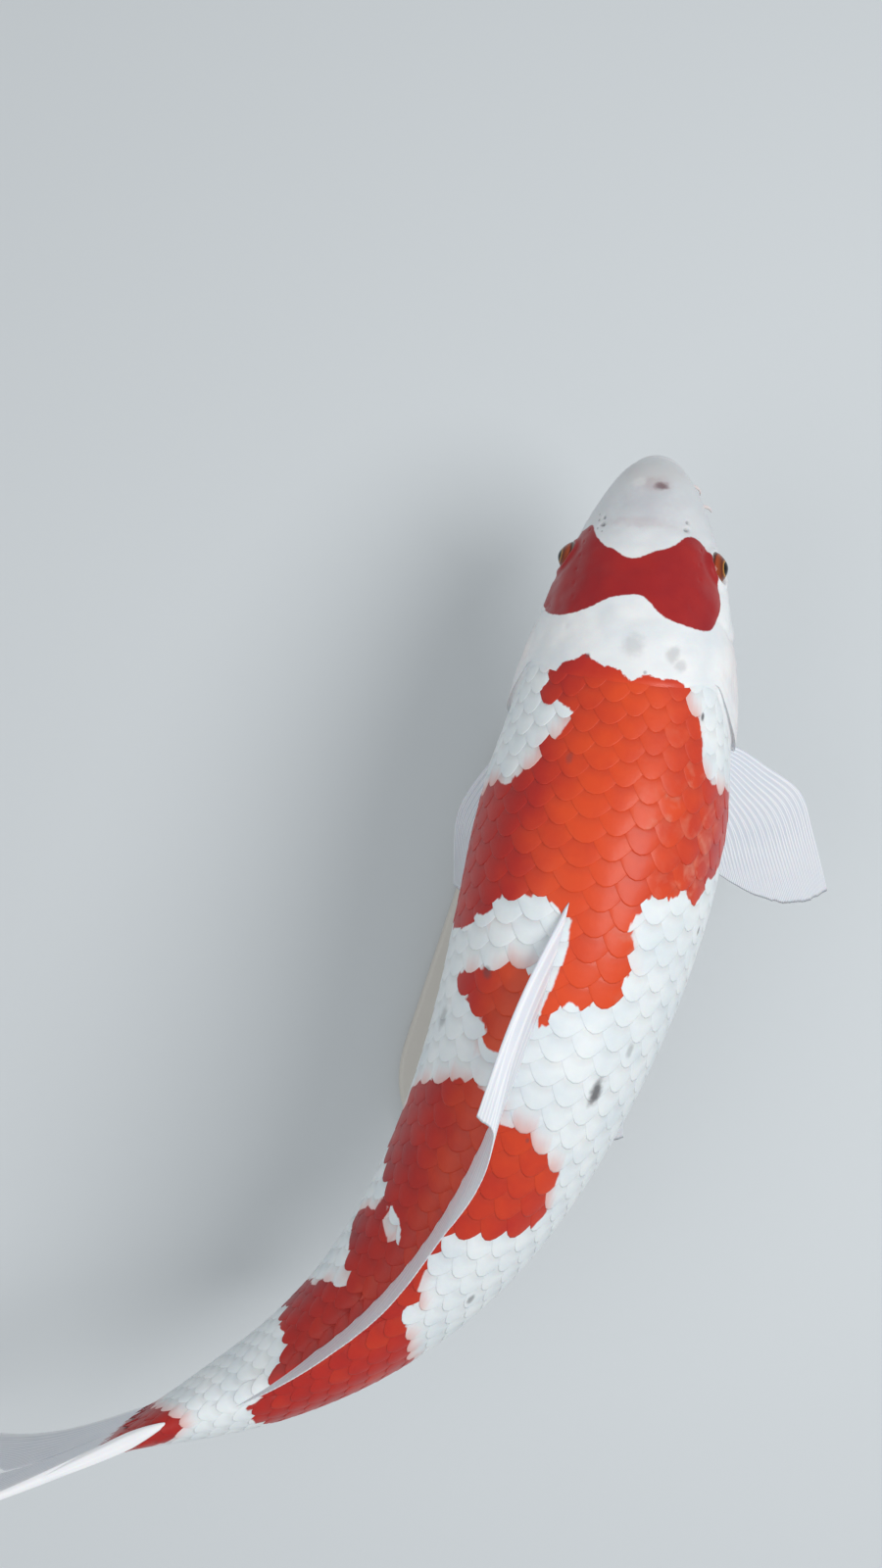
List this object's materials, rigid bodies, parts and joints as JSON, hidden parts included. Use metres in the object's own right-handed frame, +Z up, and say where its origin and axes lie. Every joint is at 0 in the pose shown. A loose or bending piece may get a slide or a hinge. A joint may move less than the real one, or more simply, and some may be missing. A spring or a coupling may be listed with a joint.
{
  "type": "koi carp",
  "caption": "Life-size still model of a mature red-and-white koi carp, swimming with its tail bent to its left, on a low oval base with two short rods.",
  "frame": {"origin": "the middle of the underside of the stand's base, on the floor", "axes": "+Z up; the head points towards -Y, the tail bends away towards +Y and +X, and the fish's left side is +X"},
  "size_m": [0.493, 0.564, 0.2941],
  "materials": {
    "skin_white_and_red": "smooth scaleless fish skin, wet gloss, cool white with a deep red head patch",
    "lip_skin": "soft pale lip and barbel skin, slightly pink",
    "scales": "overlapping round scales, wet gloss, white with red patches edged along the scales",
    "fin": "thin milky fin membrane over fine rays",
    "eye": "clear domed eye, black pupil in an orange-brown ring",
    "stand_paint": "satin powder coat, pale warm grey",
    "stand_steel": "fine brushed, satin"
  },
  "bodies": {
    "root": {"head": "skin_white_and_red", "lower_jaw": "lip_skin", "upper_lip": "lip_skin", "gill_cover_right": "skin_white_and_red", "eye_right": "eye", "gill_cover_left": "skin_white_and_red", "eye_left": "eye", "barbel_front_right": "lip_skin", "barbel_front_left": "lip_skin", "barbel_corner_right": "lip_skin", "barbel_corner_left": "lip_skin", "trunk_front": "scales", "trunk_middle": "scales", "trunk_rear": "scales", "tail_stalk": "scales", "dorsal_fin": "fin", "pectoral_fin_right": "fin", "pectoral_fin_left": "fin", "pelvic_fin_right": "fin", "pelvic_fin_left": "fin", "anal_fin": "fin", "caudal_upper_lobe": "fin", "caudal_lower_lobe": "fin", "stand_base": "stand_paint", "stand_rod_front": "stand_steel", "stand_rod_rear": "stand_steel"}
  },
  "joints": []
}
